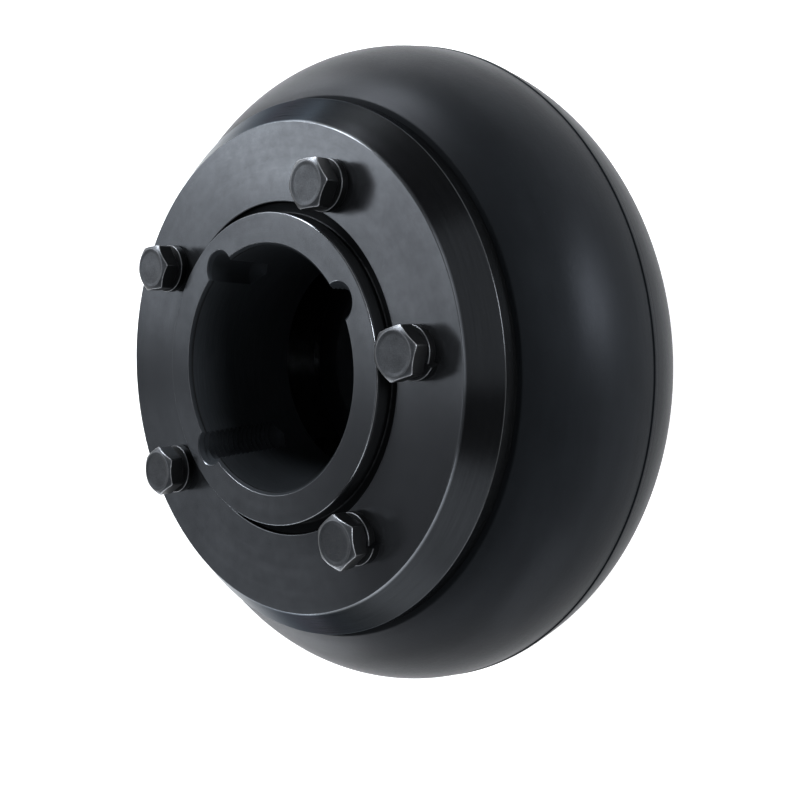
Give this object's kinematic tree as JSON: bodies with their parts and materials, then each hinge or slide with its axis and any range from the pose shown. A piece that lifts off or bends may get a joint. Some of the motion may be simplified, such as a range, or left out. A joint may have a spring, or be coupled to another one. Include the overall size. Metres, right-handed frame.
{
  "type": "tyre coupling",
  "caption": "Flexible shaft coupling: two taper-bored hubs with bevelled flanges, joined by a split rubber tyre that screws and inner rings clamp.",
  "frame": {"origin": "centre of the coupling, on the shaft axis at the tyre's mid-plane", "axes": "+Z along the shaft axis, out of the front hub's end face; +X and +Y across the axis"},
  "size_m": [0.2388, 0.2388, 0.1306],
  "materials": {
    "black_iron": "black phosphate over turned surfaces",
    "ring_steel": "dull dark steel",
    "rubber": "satin moulded rubber",
    "washer_steel": "black oxide",
    "screw_steel": "black oxide"
  },
  "bodies": {
    "root": {"front_flange": "black_iron", "rear_flange": "black_iron", "front_clamp_ring": "ring_steel", "rear_clamp_ring": "ring_steel", "tyre": "rubber", "front_washer_1": "washer_steel", "front_washer_2": "washer_steel", "front_washer_3": "washer_steel", "front_washer_4": "washer_steel", "front_washer_5": "washer_steel", "rear_washer_1": "washer_steel", "rear_washer_2": "washer_steel", "rear_washer_3": "washer_steel", "rear_washer_4": "washer_steel", "rear_washer_5": "washer_steel", "front_screw_1": "screw_steel", "front_screw_2": "screw_steel", "front_screw_3": "screw_steel", "front_screw_4": "screw_steel", "front_screw_5": "screw_steel", "rear_screw_1": "screw_steel", "rear_screw_2": "screw_steel", "rear_screw_3": "screw_steel", "rear_screw_4": "screw_steel", "rear_screw_5": "screw_steel"}
  },
  "joints": []
}
